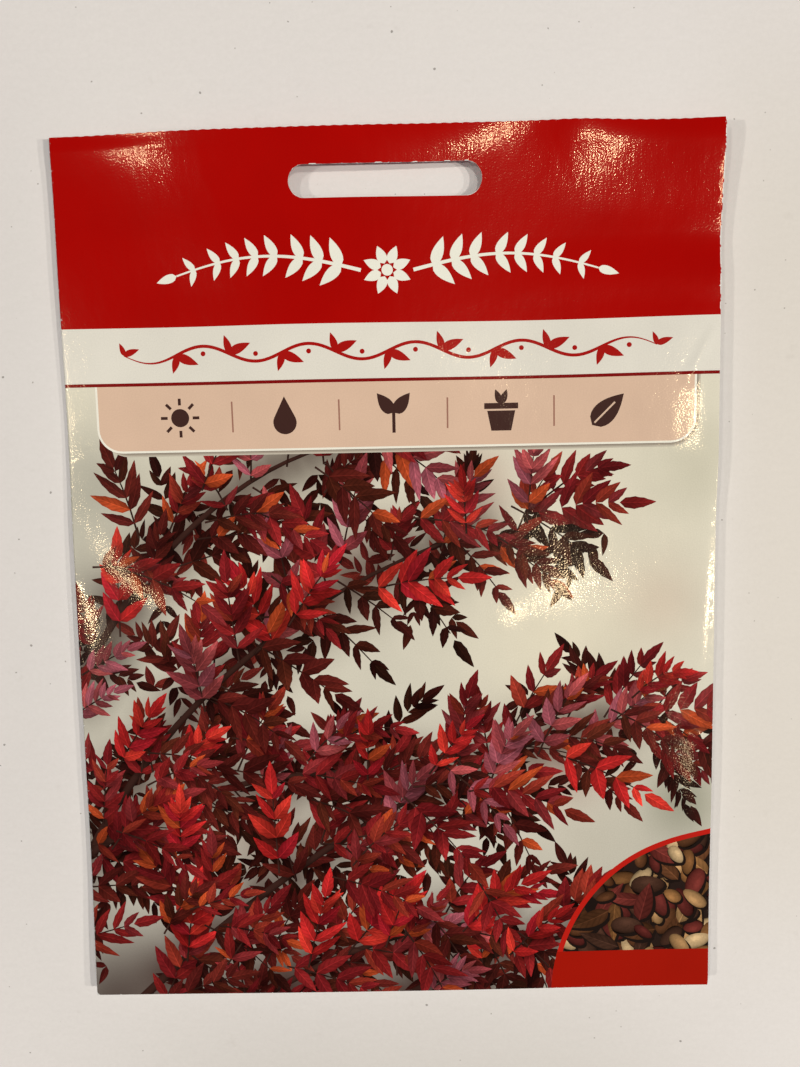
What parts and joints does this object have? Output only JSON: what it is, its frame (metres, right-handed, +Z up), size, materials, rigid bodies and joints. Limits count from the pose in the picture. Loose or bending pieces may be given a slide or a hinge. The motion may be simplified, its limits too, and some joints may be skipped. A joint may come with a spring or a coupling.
{
  "type": "seed packet",
  "caption": "Flat seed packet of glossy printed paper: a folded and glued pouch with a slotted header for hanging on a display hook, lying on its back.",
  "frame": {"origin": "on the surface that the packet lies on, under the middle of its outline", "axes": "+X across the packet to the right as its front is seen, +Y along it towards the header, +Z up out of the printed front"},
  "size_m": [0.111, 0.15, 0.0048],
  "materials": {
    "printed_front": "gloss",
    "printed_back": "satin",
    "worn_fold": "satin",
    "glue_flap": "satin",
    "seeds": "matte"
  },
  "bodies": {
    "root": {"front_panel": "printed_front", "back_panel": "printed_back", "right_fold": "worn_fold", "seam_flap": "glue_flap", "bottom_flap": "glue_flap", "seed_fill": "seeds"}
  },
  "joints": []
}
